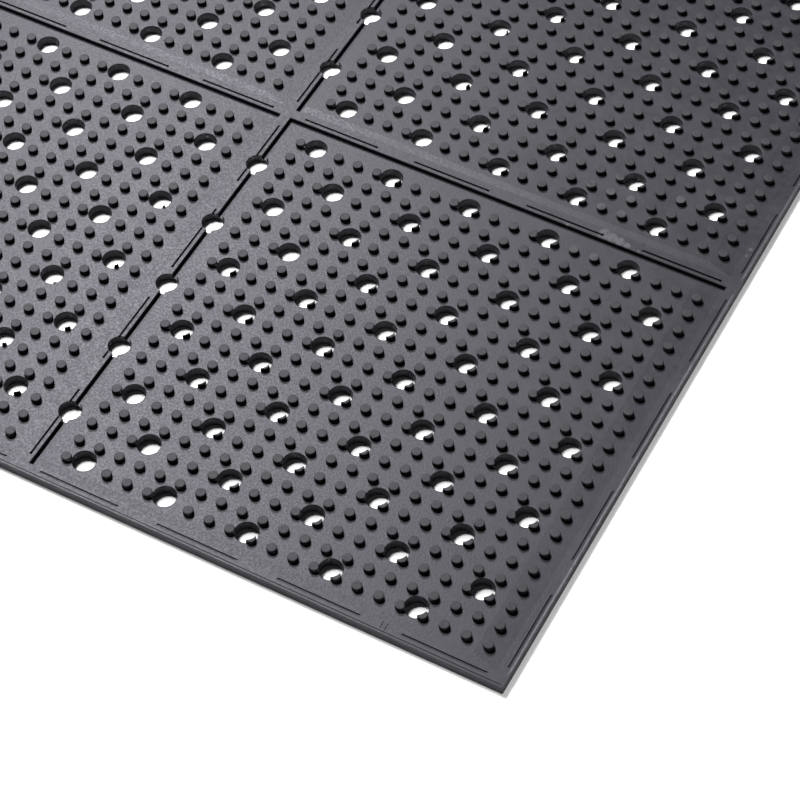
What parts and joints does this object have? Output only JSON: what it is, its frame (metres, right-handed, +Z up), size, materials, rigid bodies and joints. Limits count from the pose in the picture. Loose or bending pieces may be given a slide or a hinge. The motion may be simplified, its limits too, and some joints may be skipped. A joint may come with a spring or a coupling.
{
  "type": "floor mat",
  "caption": "Flat rectangular rubber floor mat, moulded in one piece as square studded fields divided by grooves, with staggered round drain holes, to stand on where a floor is wet or hard.",
  "frame": {"origin": "centre of the underside, on the floor", "axes": "+X across the mat, +Y along it, +Z up out of the studded side; the edges that the picture shows are the +X and -Y edges"},
  "size_m": [0.6038, 0.912, 0.0095],
  "materials": {
    "rubber": "moulded black rubber faded to charcoal grey, matt, cloudy and lightly dusted"
  },
  "bodies": {
    "root": {"mat": "rubber"}
  },
  "joints": []
}
